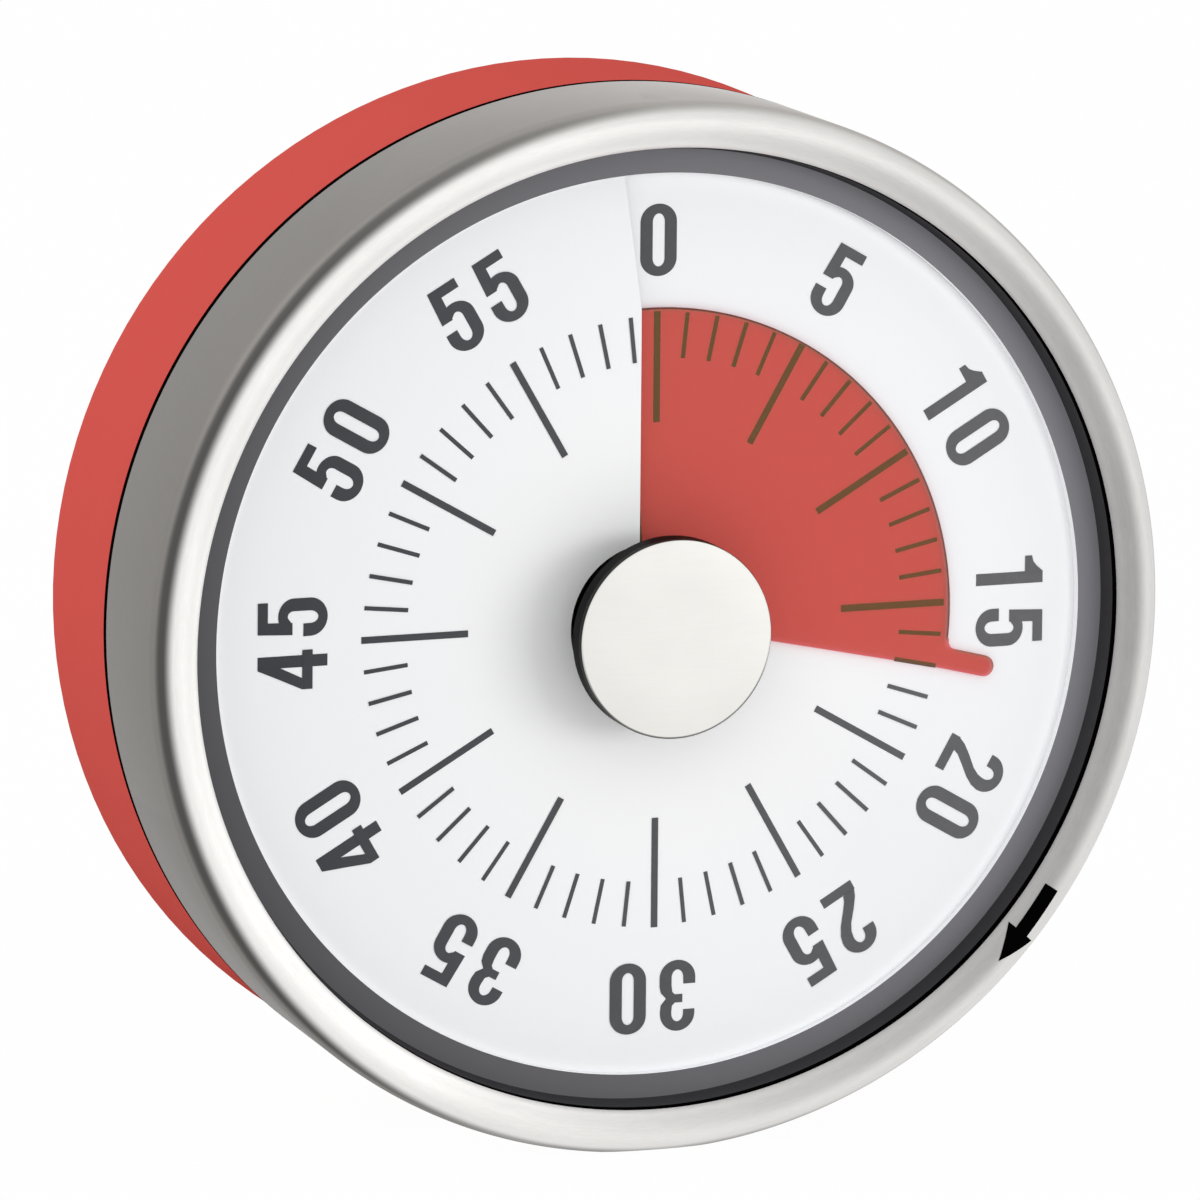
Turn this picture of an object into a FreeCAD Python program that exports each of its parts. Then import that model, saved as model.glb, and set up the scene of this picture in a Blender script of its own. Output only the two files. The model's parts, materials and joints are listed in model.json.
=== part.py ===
"""Visual countdown timer: a 60-minute wind-up puck with a red time disc behind a slit dial.

Everything is drawn in the dial frame and turned upright at the end. In the dial frame X is to the
right, Y is up towards the 0 and Z points out of the dial at the viewer, with Z = 0 on the back face.
Angles are clock angles: degrees clockwise from the 0 as the viewer sees them. Lengths are millimetres.
"""
import FreeCAD, Part
import math
import os
import re
import Sketcher
from FreeCAD import Rotation, Vector

SIZES = {
    # Red rear case, a step smaller than the steel shell
    "case_step": 0.35,
    "case_front": 14.35,
    "case_floor": 2.0,
    "case_wall": 1.8,
    "case_edge": 1.0,
    "spigot_height": 4.0,
    # Steel shell
    "shell_radius": 40.1,
    "shell_sheet": 0.5,
    "shell_front": 27.9,
    "shell_corner": 1.8,
    "corner_cut": 0.53,
    "shell_slope": 0.56,
    "seam_gap": 0.28,
    "rim_band": 3.17,
    "lip_turn": 0.55,
    # Dial ring: a flat face inside a short slope up to the lip
    "ring_face": 24.9,
    "ring_slope": 0.39,
    "ring_flat": 1.92,
    "ring_sheet": 0.8,
    "ring_shoulder": 0.4,
    "seat_gap": 0.05,
    # Dial card and time disc
    "dial_sheet": 0.3,
    "dial_gap": 0.12,
    "dial_drop": 0.05,
    "dial_bore": 6.4,
    "screw_pitch": 0.9,
    "slit_angle": -3.4,
    "slit_width": 0.6,
    "disc_sheet": 0.2,
    "disc_radius": 24.3,
    "disc_bore": 6.1,
    "disc_turn": 365.0,
    "key_depth": 0.7,
    "key_half_angle": 8.0,
    "key_count": 4,
    "key_side_gap": 2.0,
    "key_root_gap": 0.15,
    "shown_minutes": 17.0,
    "pointer_reach": 28.35,
    "pointer_width": 1.6,
    # Dial carrier
    "carrier_back": 20.9,
    "carrier_sheet": 1.2,
    "carrier_bore": 7.0,
    "rim_width": 2.6,
    "post_inset": 2.0,
    "post_radius": 1.3,
    "post_count": 6,
    # Knob
    "knob_radius": 7.63,
    "knob_front": 30.3,
    "knob_flange": 1.85,
    "cap_sheet": 0.6,
    "cap_edge": 0.25,
    "hub_radius": 6.0,
    "hub_back": 21.6,
    # Plates and pillars
    "plate_radius": 28.5,
    "plate_sheet": 0.8,
    "rear_plate_back": 10.2,
    "front_plate_back": 18.4,
    "pillar_circle": 25.5,
    "pillar_radius": 2.0,
    "pillar_spigot": 1.1,
    "plate_screw_radius": 0.8,
    "plate_screw_head": 1.8,
    "plate_screw_head_height": 0.7,
    "plate_screw_length": 7.0,
    # Arbors and wheels
    "running_gap": 0.05,
    "fit_gap": 0.02,
    "main_arbor_radius": 1.5,
    "pivot_radius": 0.5,
    "train_arbor_radius": 0.9,
    "pivot_length": 1.1,
    "end_shake": 0.1,
    "wheel_sheet": 0.7,
    "wheel_hub": 1.5,
    "wheel_rim_modules": 3.0,
    "window_web": 0.8,
    "window_count": 4,
    "great_teeth": 72,
    "great_module": 0.5,
    "great_back": 14.8,
    "second_teeth": 60,
    "train_module": 0.4,
    "second_back": 16.3,
    "pinion_leaves": 8,
    "pinion_overrun": 0.4,
    "train_angle": 150.0,
    "escape_circle": 24.4,
    "anchor_circle": 24.0,
    "escape_teeth": 20,
    "escape_tip": 7.0,
    "escape_back": 12.6,
    "anchor_gap": 0.45,
    "anchor_distance": 9.4,
    "anchor_sheet": 0.8,
    "balance_back": 16.4,
    "balance_sheet": 0.6,
    "balance_length": 15.0,
    "balance_width": 2.0,
    # Mainspring
    "spring_strip": 0.35,
    "spring_height": 3.0,
    "spring_back": 11.3,
    "spring_inner": 1.9,
    "spring_step": 1.3,
    "spring_half_turns": 9,
    "spring_post_radius": 0.7,
    # Stop work and alarm
    "cam_radius": 6.0,
    "cam_back": 19.5,
    "cam_sheet": 0.8,
    "notch_depth": 1.2,
    "lever_length": 11.0,
    "lever_width": 1.8,
    "lever_nose": 0.7,
    "lever_angle": 300.0,
    "rest_gap": 0.3,
    "bell_radius": 18.0,
    "bell_sheet": 0.7,
    "bell_back": 4.9,
    "bell_height": 4.4,
    "bell_shift": 6.0,
    "bell_shift_angle": 120.0,
    "bell_post_radius": 1.5,
    "bell_screw_head": 2.2,
    "hammer_angle": 315.0,
    "hammer_radius": 1.8,
    "hammer_arm": 13.0,
    "hammer_arm_width": 1.2,
    "hammer_back": 8.5,
    "hammer_sheet": 1.2,
    # Case screws and magnets
    "boss_inset": 6.7,
    "boss_radius": 2.6,
    "boss_angle": 0.0,
    "boss_count": 3,
    "case_screw_radius": 1.0,
    "case_screw_head": 2.0,
    "case_screw_head_height": 1.5,
    "screw_recess": 2.2,
    "screw_bite": 0.9,
    "magnet_circle": 22.0,
    "magnet_radius": 6.0,
    "magnet_height": 2.6,
    "magnet_inset": 0.1,
    "magnet_wall": 1.5,
    # Places of the pillars around the plates
    "pillar_angle_a": 262.0,
    "pillar_angle_b": 4.0,
    "pillar_angle_c": 108.0,
}

# Radii that follow the steel shell
CASE_RADIUS = "(shell_radius - case_step)"
LIP_RADIUS = "(shell_radius - rim_band)"
RING_OUTER = "(shell_radius - rim_band - ring_slope)"
RING_INNER = "(shell_radius - rim_band - ring_slope - ring_flat)"
BOSS_CIRCLE = "(shell_radius - boss_inset)"
POST_CIRCLE = f"({RING_INNER} - post_inset)"

UPRIGHT = FreeCAD.Placement(Vector(0, 0, 0), Rotation(Vector(1, 0, 0), 90))

doc = FreeCAD.newDocument("CountdownTimer")
sheet = doc.addObject("Spreadsheet::Sheet", "Sizes")
for row, (alias, size) in enumerate(SIZES.items(), start=1):
    sheet.set(f"A{row}", alias)
    sheet.set(f"B{row}", str(size))
    sheet.setAlias(f"B{row}", alias)
doc.recompute()

parts = []


def bound(text):
    """The expression with each size's name pointing at its cell."""
    return re.sub(r"[a-z_]+", lambda m: "Sizes." + m.group(0) if m.group(0) in SIZES else m.group(0), text)


def number(text):
    """What the expression comes to with the sheet's present values."""
    result = sheet.evalExpression(bound(text))
    return float(getattr(result, "Value", result))


def bind(feature, name, text):
    feature.setExpression(name, bound(text))


def new_body(label):
    body = doc.addObject("PartDesign::Body", label)
    body.Label = label
    parts.append(body)
    return body


def new_sketch(body, role, depth="0"):
    """A sketch on one of the body's own planes, lifted along its normal."""
    sketch = body.newObject("Sketcher::SketchObject", "Sketch")
    plane = [f for f in body.Origin.OriginFeatures if f.Role == role][0]
    sketch.AttachmentSupport = [(plane, "")]
    sketch.MapMode = "FlatFace"
    bind(sketch, "AttachmentOffset.Base.z", depth)
    return sketch


def fix_point(sketch, geometry, point, across, up):
    for kind, text in (("DistanceX", across), ("DistanceY", up)):
        size = number(text)
        index = sketch.addConstraint(Sketcher.Constraint(kind, -1, 1, geometry, point, size))
        bind(sketch, f"Constraints[{index}]", text)


def draw_outline(sketch, corners):
    """A closed run of straight lines whose corners follow their expressions."""
    points = [Vector(number(across), number(up), 0) for across, up in corners]
    lines = []
    for start, end in zip(points, points[1:] + points[:1]):
        lines.append(sketch.addGeometry(Part.LineSegment(start, end), False))
    for line, after in zip(lines, lines[1:] + lines[:1]):
        sketch.addConstraint(Sketcher.Constraint("Coincident", line, 2, after, 1))
    for line, (across, up) in zip(lines, corners):
        fix_point(sketch, line, 1, across, up)


def draw_circle(sketch, radius, across="0", up="0"):
    centre = Vector(number(across), number(up), 0)
    circle = sketch.addGeometry(Part.Circle(centre, Vector(0, 0, 1), number(radius)), False)
    fix_point(sketch, circle, 3, across, up)
    index = sketch.addConstraint(Sketcher.Constraint("Radius", circle, number(radius)))
    bind(sketch, f"Constraints[{index}]", radius)


def draw_loop(sketch, points):
    """A closed run of lines through points worked out from a formula, such as a row of teeth."""
    for start, end in zip(points, points[1:] + points[:1]):
        sketch.addGeometry(Part.LineSegment(Vector(*start, 0), Vector(*end, 0)), False)


def revolve(body, corners, kind="PartDesign::Revolution"):
    """Turn a half section, given as radius and height pairs, about the dial axis."""
    sketch = new_sketch(body, "XZ_Plane")
    draw_outline(sketch, corners)
    turn = body.newObject(kind, "Turn")
    turn.Profile = sketch
    turn.ReferenceAxis = (sketch, ["V_Axis"])
    turn.Angle = 360
    return turn


def pad(body, back, height, draw):
    """Raise what draw puts in a sketch at one height by the given thickness."""
    sketch = new_sketch(body, "XY_Plane", back)
    draw(sketch)
    feature = body.newObject("PartDesign::Pad", "Pad")
    feature.Profile = sketch
    bind(feature, "Length", height)
    return feature


def pocket(body, back, height, draw):
    """Cut what draw puts in a sketch, forwards from one height by the given depth."""
    sketch = new_sketch(body, "XY_Plane", back)
    draw(sketch)
    feature = body.newObject("PartDesign::Pocket", "Pocket")
    feature.Profile = sketch
    feature.Reversed = True
    bind(feature, "Length", height)
    return feature


def clock(circle, angle):
    """The across and up expressions of a place on a circle at a clock angle."""
    return f"({circle}) * sin({angle})", f"({circle}) * cos({angle})"


def clock_point(radius, angle):
    return radius * math.sin(math.radians(angle)), radius * math.cos(math.radians(angle))


def boss_places():
    return [clock(BOSS_CIRCLE, f"boss_angle + {turn} * 360 / boss_count")
            for turn in range(int(number("boss_count")))]


def pillar_places():
    return [clock("pillar_circle", f"pillar_angle_{letter}") for letter in "abc"]


def magnet_places():
    return [clock("magnet_circle", "90"), clock("magnet_circle", "270")]


def circles_at(places, radius):
    def draw(sketch):
        for across, up in places:
            draw_circle(sketch, radius, across, up)
    return draw


# Train centres: each meshes with the one before it, and lies at its own distance from the main arbor

SECOND_CIRCLE = "great_module * (great_teeth + pinion_leaves) / 2"
ESCAPE_REACH = "train_module * (second_teeth + pinion_leaves) / 2"


def turn_between(near, far, reach):
    """The clock angle between two arbors at known distances from the centre and from each other."""
    return f"acos((({near})^2 + ({far})^2 - ({reach})^2) / (2 * ({near}) * ({far})))"


SECOND_ANGLE = "train_angle"
ESCAPE_ANGLE = f"{SECOND_ANGLE} + " + turn_between(SECOND_CIRCLE, "escape_circle", ESCAPE_REACH) + " / 1deg"
ANCHOR_ANGLE = f"{ESCAPE_ANGLE} + " + turn_between("escape_circle", "anchor_circle", "anchor_distance") + " / 1deg"
SECOND = clock(SECOND_CIRCLE, SECOND_ANGLE)
ESCAPE = clock("escape_circle", ESCAPE_ANGLE)
ANCHOR = clock("anchor_circle", ANCHOR_ANGLE)
BELL = clock("bell_shift", "bell_shift_angle")
STRIKE = "bell_radius + rest_gap + hammer_radius"
HEAD = (f"{BELL[0]} + ({STRIKE}) * sin(hammer_angle)", f"{BELL[1]} + ({STRIKE}) * cos(hammer_angle)")
HAMMER = (f"{HEAD[0]} + hammer_arm * sin(hammer_angle + 90)", f"{HEAD[1]} + hammer_arm * cos(hammer_angle + 90)")
NOSE = clock("cam_radius + rest_gap + lever_nose", "lever_angle")
LEVER = (f"{NOSE[0]} + lever_length * sin(lever_angle + 90)", f"{NOSE[1]} + lever_length * cos(lever_angle + 90)")
SPRING_POST_UP = "spring_inner + spring_strip + spring_step * spring_half_turns + spring_post_radius + fit_gap"


def rear_case():
    """Red cup with the screw bosses, the magnet pockets and the spigot for the steel shell."""
    body = new_body("rear_case")
    spigot = "shell_radius - shell_sheet - seat_gap"
    bore = f"{CASE_RADIUS} - case_wall"
    half, near = "case_edge * 0.5", "case_edge * 0.134"
    revolve(body, [("0", "0"), (f"{CASE_RADIUS} - case_edge", "0"), (f"{CASE_RADIUS} - {half}", near),
                   (f"{CASE_RADIUS} - {near}", half), (CASE_RADIUS, "case_edge"), (CASE_RADIUS, "case_front"),
                   (spigot, "case_front"), (spigot, "case_front + spigot_height"),
                   (bore, "case_front + spigot_height"), (bore, "case_floor"), ("0", "case_floor")])
    pad(body, "case_floor", "carrier_back - case_floor", circles_at(boss_places(), "boss_radius"))
    pad(body, "case_floor", "magnet_inset + magnet_height + magnet_wall - case_floor",
        circles_at(magnet_places(), "magnet_radius + magnet_wall"))
    pocket(body, "0", "magnet_inset + magnet_height", circles_at(magnet_places(), "magnet_radius + seat_gap"))
    pocket(body, "0", "screw_recess", circles_at(boss_places(), "case_screw_head + 4 * seat_gap"))
    pocket(body, "screw_recess", "carrier_back - screw_recess",
           circles_at(boss_places(), "case_screw_radius + seat_gap"))


def front_shell():
    """Drawn steel can: the side wall, a rounded corner, a sloped rim and its turned-in lip."""
    body = new_body("front_shell")
    back = "case_front + seam_gap"
    lip = "shell_front - shell_slope"
    inside = "shell_radius - shell_sheet"
    revolve(body, [("shell_radius", back), ("shell_radius", "shell_front - shell_corner"),
                   ("shell_radius - corner_cut", "shell_front - corner_cut"),
                   ("shell_radius - shell_corner", "shell_front"), (LIP_RADIUS, lip),
                   (LIP_RADIUS, f"{lip} - lip_turn"), (f"{LIP_RADIUS} + shell_sheet", f"{lip} - lip_turn"),
                   (f"{LIP_RADIUS} + shell_sheet", f"{lip} - shell_sheet"),
                   ("shell_radius - shell_corner", "shell_front - shell_sheet - shell_slope / 2"),
                   (inside, "shell_front - shell_corner"), (inside, back)])


def dial_ring():
    """Grey ring with a flat face round the dial and a wall up to the steel lip."""
    body = new_body("dial_ring")
    top = "shell_front - shell_slope - lip_turn - seat_gap"
    outside = "shell_radius - shell_sheet - seat_gap"
    revolve(body, [(RING_INNER, "ring_face - ring_sheet"), (outside, "ring_face - ring_sheet"),
                   (outside, "shell_front - shell_corner - ring_shoulder"),
                   (f"{LIP_RADIUS} + shell_sheet + ring_shoulder", top), (LIP_RADIUS, top),
                   (RING_OUTER, "ring_face"), (RING_INNER, "ring_face")])


def dial_height(angle):
    """The top of the dial card at a clock angle between the slit and a full turn past it."""
    high = number("ring_face - dial_drop")
    rise = number("screw_pitch") * (angle - number("slit_angle")) / 360
    return high - number("screw_pitch") + rise


def spiral_sheet(ribs, height, thickness):
    """A sheet on a screw surface, through straight ribs of (clock angle, inner radius, outer radius)."""
    corners = []
    for angle, inner, outer in ribs:
        level = height(angle)
        corners.append([Vector(*clock_point(radius, angle), level - down)
                        for down in (0, thickness) for radius in (inner, outer)])
    faces = []

    def face(*points):
        faces.append(Part.Face(Part.makePolygon(list(points) + [points[0]])))

    for before, after in zip(corners, corners[1:]):
        for side in (0, 2):
            face(before[side], before[side + 1], after[side + 1])
            face(before[side], after[side + 1], after[side])
        for edge in (0, 1):
            face(before[edge], after[edge], after[edge + 2], before[edge + 2])
    for end in (corners[0], corners[-1]):
        face(end[0], end[1], end[3], end[2])
    solid = Part.Solid(Part.Shell(faces))
    if solid.Volume < 0:
        solid.reverse()
    return solid


def new_feature(label, shape):
    feature = doc.addObject("Part::Feature", label)
    feature.Label = label
    feature.Shape = shape
    parts.append(feature)
    return feature


def even_angles(start, end, step):
    count = math.ceil((end - start) / step)
    return [start + (end - start) * index / count for index in range(count + 1)]


def dial_card():
    """White card cut along one radius, with one side of the cut standing a screw pitch higher."""
    half_slit = number("slit_width") / 2
    start = number("slit_angle") + half_slit
    ribs = [(angle, number("dial_bore"), number(f"{RING_INNER} - dial_gap"))
            for angle in even_angles(start, start + 360 - 2 * half_slit, 7.5)]
    new_feature("dial_card", spiral_sheet(ribs, dial_height, number("dial_sheet")))


def disc_height(angle):
    """The top of the film, which lies midway between two turns of the card."""
    return dial_height(angle) + number("(screw_pitch - dial_sheet + disc_sheet) / 2")


def disc_inner(angle):
    """The bore, with keys that reach into the hub's grooves."""
    pitch = 360 / number("key_count")
    off = abs((angle - number("shown_minutes") * 6 + pitch / 2) % pitch - pitch / 2)
    return number("disc_bore - key_depth") if off <= number("key_half_angle") else number("disc_bore")


def time_disc():
    """Red film on the same screw surface as the dial, halfway between its turns, with its pointer tab."""
    edge = number("shown_minutes") * 6
    start = edge - number("disc_turn")
    radius = number("disc_radius")
    round_tip = number("pointer_width") / 2
    angles = even_angles(start, edge - 7.5, 7.5)
    pitch = 360 / number("key_count")
    for key in range(-4, 2):
        for side in (-1, 1):
            corner = edge + key * pitch + side * number("key_half_angle")
            angles += [corner - 0.2, corner + 0.2]
    root = edge - math.degrees(math.asin(2 * round_tip / radius))
    angles = sorted(a for a in angles if start < a < root - 1)
    ribs = [(a, disc_inner(a), radius) for a in [start] + angles + [root]]
    centre = number("pointer_reach") - round_tip
    for step in range(13):
        swing = math.radians(180 * step / 12)
        along = centre + round_tip * math.sin(swing)
        across = round_tip * (1 + math.cos(swing))
        turn = edge - math.degrees(math.atan2(across, along))
        ribs.append((turn, disc_inner(turn), math.hypot(across, along)))
    ribs.sort(key=lambda rib: rib[0])
    new_feature("time_disc", spiral_sheet(ribs, disc_height, number("disc_sheet")))


def dial_carrier():
    """Moulded plate behind the dial: its rim carries the ring and stepped posts carry the card."""
    body = new_body("dial_carrier")
    top = "carrier_back + carrier_sheet"
    outside = "shell_radius - shell_sheet - 2 * seat_gap"
    seat = "ring_face - ring_sheet"
    revolve(body, [("carrier_bore", "carrier_back"), (outside, "carrier_back"), (outside, seat),
                   (f"{outside} - rim_width", seat), (f"{outside} - rim_width", top), ("carrier_bore", top)])
    pad(body, "front_plate_back + plate_sheet", "carrier_back - front_plate_back - plate_sheet",
        circles_at(pillar_places(), "pillar_radius"))
    count = int(number("post_count"))
    for index in range(count):
        turn = f"({index} + 0.5) / post_count - post_radius / ({POST_CIRCLE} * 2 * pi)"
        rise = f"ring_face - dial_drop - screw_pitch * (1 - ({turn})) - dial_sheet - ({top})"
        place = clock(POST_CIRCLE, f"slit_angle + 360 * ({index} + 0.5) / post_count")
        pad(body, top, rise, circles_at([place], "post_radius"))
    pocket(body, "front_plate_back + plate_sheet", "carrier_back + carrier_sheet - front_plate_back",
           circles_at(pillar_places(), "plate_screw_radius + seat_gap"))
    pocket(body, f"{top} - plate_screw_head_height", "plate_screw_head_height",
           circles_at(pillar_places(), "plate_screw_head + seat_gap"))
    pocket(body, "carrier_back", "screw_bite + seat_gap",
           circles_at(boss_places(), "case_screw_radius + seat_gap"))


def knob():
    """Splined hub with its dark flange, and the steel cap on it."""
    body = new_body("knob_body")
    flange = "knob_front - knob_flange"
    top = "knob_front - cap_sheet"
    revolve(body, [("main_arbor_radius + fit_gap", "hub_back"), ("hub_radius", "hub_back"),
                   ("hub_radius", flange), ("knob_radius", flange), ("knob_radius", top),
                   ("0", top), ("0", "knob_front - 2 * knob_flange"),
                   ("main_arbor_radius + fit_gap", "knob_front - 2 * knob_flange")])
    groove = "disc_bore - key_depth - key_root_gap"
    count = int(number("key_count"))

    def draw(sketch):
        for index in range(count):
            middle = f"shown_minutes * 6 + {index} * 360 / key_count"
            half = "(key_half_angle + key_side_gap)"
            draw_outline(sketch, [clock(groove, f"{middle} - {half}"), clock("hub_radius + 1", f"{middle} - {half}"),
                                  clock("hub_radius + 1", f"{middle} + {half}"),
                                  clock(groove, f"{middle} + {half}")])

    pocket(body, "hub_back", "ring_face + screw_pitch - hub_back", draw)
    cap = new_body("knob_cap")
    revolve(cap, [("0", top), ("knob_radius", top), ("knob_radius", "knob_front - cap_edge"),
                  ("knob_radius - cap_edge", "knob_front"), ("0", "knob_front")])


def main_arbor():
    """Steel arbor that carries the knob, the stop cam and the great wheel."""
    body = new_body("main_arbor")
    revolve(body, [("0", "rear_plate_back - seat_gap"), ("pivot_radius * 1.6", "rear_plate_back - seat_gap"),
                   ("pivot_radius * 1.6", "rear_plate_back + plate_sheet + end_shake"),
                   ("main_arbor_radius", "rear_plate_back + plate_sheet + end_shake"),
                   ("main_arbor_radius", "knob_front - 2 * knob_flange - end_shake"),
                   ("0", "knob_front - 2 * knob_flange - end_shake")])


def plate(label, back, centre_hole):
    """Round brass plate with its pivot, pillar and window holes."""
    body = new_body(label)
    pivots = [SECOND, ESCAPE, ANCHOR]

    def draw(sketch):
        draw_circle(sketch, "plate_radius")
        draw_circle(sketch, centre_hole)
        for across, up in pivots + [HAMMER]:
            draw_circle(sketch, "pivot_radius + running_gap", across, up)
        for across, up in pillar_places():
            draw_circle(sketch, "pillar_spigot + fit_gap", across, up)
        if label == "rear_plate":
            draw_circle(sketch, "bell_post_radius - 0.5 + fit_gap", *BELL)
            draw_circle(sketch, "spring_post_radius + fit_gap", "0", SPRING_POST_UP)
        else:
            draw_circle(sketch, "pivot_radius + running_gap", *LEVER)

    pad(body, back, "plate_sheet", draw)


def turned_post(label, centre, steps):
    """A round post at a place in the plates, from (radius, back, front) steps."""
    body = new_body(label)
    for radius, back, front in steps:
        pad(body, back, f"{front} - ({back})", circles_at([centre], radius))
    return body


def pillars():
    inner_front = "rear_plate_back + plate_sheet"
    for letter, centre in zip("abc", pillar_places()):
        body = turned_post(f"pillar_{letter}", centre,
                           [("pillar_spigot", "rear_plate_back", inner_front),
                            ("pillar_radius", inner_front, "front_plate_back"),
                            ("pillar_spigot", "front_plate_back", "front_plate_back + plate_sheet")])
        bite = "carrier_back + carrier_sheet - plate_screw_head_height - plate_screw_length"
        pocket(body, bite, f"front_plate_back + plate_sheet - ({bite})",
               circles_at([centre], "plate_screw_radius + fit_gap"))
        head_back = "carrier_back + carrier_sheet - plate_screw_head_height"
        turned_post(f"plate_screw_{letter}", centre,
                    [("plate_screw_radius", f"{head_back} - plate_screw_length + seat_gap", head_back),
                     ("plate_screw_head", head_back, "carrier_back + carrier_sheet")])


def tooth_ring(centre, count, module, tip, root, at_tip, at_root, phase):
    """Corner points of a ring of straight-sided teeth; widths are shares of the tooth pitch."""
    radius = count * module / 2
    points = []
    for index in range(count):
        for reach, share, side in ((root, at_root, -1), (tip, at_tip, -1), (tip, at_tip, 1), (root, at_root, 1)):
            angle = phase + 360 / count * (index + side * share / 2)
            across, up = clock_point(radius + reach * module, angle)
            points.append((centre[0] + across, centre[1] + up))
    return points


def bearing(first, second):
    """The clock angle at which the second place is seen from the first."""
    return math.degrees(math.atan2(second[0] - first[0], second[1] - first[1]))


def values(centre):
    return number(centre[0]), number(centre[1])


def toothed(body, centre, back, height, count, module, phase, leaf):
    """Pad one wheel or pinion; a pinion's leaves are slimmer than a wheel's teeth."""
    tip, root, at_tip, at_root = (0.8, -1.15, 0.14, 0.56) if leaf else (0.9, -1.1, 0.16, 0.62)
    ring = tooth_ring(values(centre), count, module, tip, root, at_tip, at_root, phase)
    pad(body, back, height, lambda sketch: draw_loop(sketch, ring))


def wheel(label, centre, back, teeth, module, phase, hole, hub):
    """Brass wheel with its teeth, its round windows and the bore for its arbor."""
    body = new_body(label)
    toothed(body, centre, back, "wheel_sheet", int(number(teeth)), number(module), phase, False)
    pocket(body, back, "wheel_sheet", circles_at([centre], hole))
    inner = f"({hub})"
    outer = f"({teeth} * {module} / 2 - wheel_rim_modules * {module})"
    middle = f"(({inner} + {outer}) / 2)"
    share = f"2 * {middle} * sin(180 / window_count)"
    window = f"min({outer} - {inner} - window_web; {share} - 2 * window_web) / 2"
    places = []
    for index in range(int(number("window_count"))):
        across, up = clock(middle, f"{index} * 360 / window_count")
        places.append((f"{centre[0]} + {across}", f"{centre[1]} + {up}"))
    pocket(body, back, "wheel_sheet", circles_at(places, window))
    return body


def pinion_arbor(label, centre, back, front, phase, module):
    """Steel arbor with its pivots and the pinion cut on it."""
    low = "rear_plate_back + plate_sheet + end_shake"
    high = "front_plate_back - end_shake"
    body = turned_post(label, centre, [("pivot_radius", "rear_plate_back", low),
                                       ("train_arbor_radius", low, back)])
    toothed(body, centre, back, f"{front} - ({back})", int(number("pinion_leaves")), number(module), phase, True)
    for radius, start, end in (("train_arbor_radius", front, high),
                               ("pivot_radius", high, "front_plate_back + plate_sheet")):
        pad(body, start, f"{end} - ({start})", circles_at([centre], radius))


def train():
    """Great wheel, second wheel and the pinions that they drive, all in mesh."""
    main, second, escape = (0.0, 0.0), values(SECOND), values(ESCAPE)
    half_leaf = 180 / number("pinion_leaves")
    wheel("great_wheel", ("0", "0"), "great_back", "great_teeth", "great_module",
          bearing(main, second), "main_arbor_radius + fit_gap", "main_arbor_radius + wheel_hub")
    pinion_arbor("second_arbor", SECOND, "great_back - pinion_overrun", "second_back",
                 bearing(second, main) + half_leaf, "great_module")
    wheel("second_wheel", SECOND, "second_back", "second_teeth", "train_module",
          bearing(second, escape), "train_arbor_radius + fit_gap", "train_arbor_radius + wheel_hub")
    pinion_arbor("escape_arbor", ESCAPE, "second_back - pinion_overrun", "second_back + wheel_sheet + pinion_overrun",
                 bearing(escape, second) + half_leaf, "train_module")


def escape_wheel():
    """Light wheel with pointed raked teeth."""
    body = new_body("escape_wheel")
    centre = values(ESCAPE)
    count = int(number("escape_teeth"))
    tip = number("escape_tip")
    points = []
    for index in range(count):
        angle = 360 / count * index
        for radius, turn in ((tip - 1.5, 0), (tip, 4), (tip, 5.5), (tip - 1.5, 12)):
            across, up = clock_point(radius, angle + turn)
            points.append((centre[0] + across, centre[1] + up))
    pad(body, "escape_back", "wheel_sheet", lambda sketch: draw_loop(sketch, points))
    pocket(body, "escape_back", "wheel_sheet", circles_at([ESCAPE], "train_arbor_radius + fit_gap"))


def anchor_and_balance():
    """Pallet anchor, its arbor and the bar that sets the beat."""
    low = "rear_plate_back + plate_sheet + end_shake"
    high = "front_plate_back - end_shake"
    turned_post("anchor_arbor", ANCHOR, [("pivot_radius", "rear_plate_back", low),
                                         ("train_arbor_radius", low, high),
                                         ("pivot_radius", high, "front_plate_back + plate_sheet")])
    centre, wheel_centre = values(ANCHOR), values(ESCAPE)
    towards = bearing(centre, wheel_centre)
    reach = number("escape_tip + anchor_gap")
    body = new_body("anchor")
    arms = [clock_point(reach + 1.4, towards + 180 + turn) for turn in (-48, -24, 0, 24, 48)]
    inner = [clock_point(reach + 0.25, towards + 180 + turn) for turn in (46, 23, 0, -23, -46)]
    outline = [(wheel_centre[0] + x, wheel_centre[1] + y) for x, y in arms + inner]
    pad(body, "escape_back", "anchor_sheet", lambda sketch: draw_loop(sketch, outline))
    pad(body, "escape_back", "anchor_sheet", circles_at([ANCHOR], "train_arbor_radius + 1.2"))
    pocket(body, "escape_back", "anchor_sheet", circles_at([ANCHOR], "train_arbor_radius + fit_gap"))
    bar = new_body("balance_bar")
    across_bar = clock_point(number("balance_length") / 2, towards + 20)
    half = clock_point(number("balance_width") / 2, towards + 110)
    ends = [(1, 1), (1, -1), (-1, -1), (-1, 1)]
    outline = [(centre[0] + a * across_bar[0] + b * half[0], centre[1] + a * across_bar[1] + b * half[1])
               for a, b in ends]
    pad(bar, "balance_back", "balance_sheet", lambda sketch: draw_loop(sketch, outline))
    pocket(bar, "balance_back", "balance_sheet", circles_at([ANCHOR], "train_arbor_radius + fit_gap"))


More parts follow.
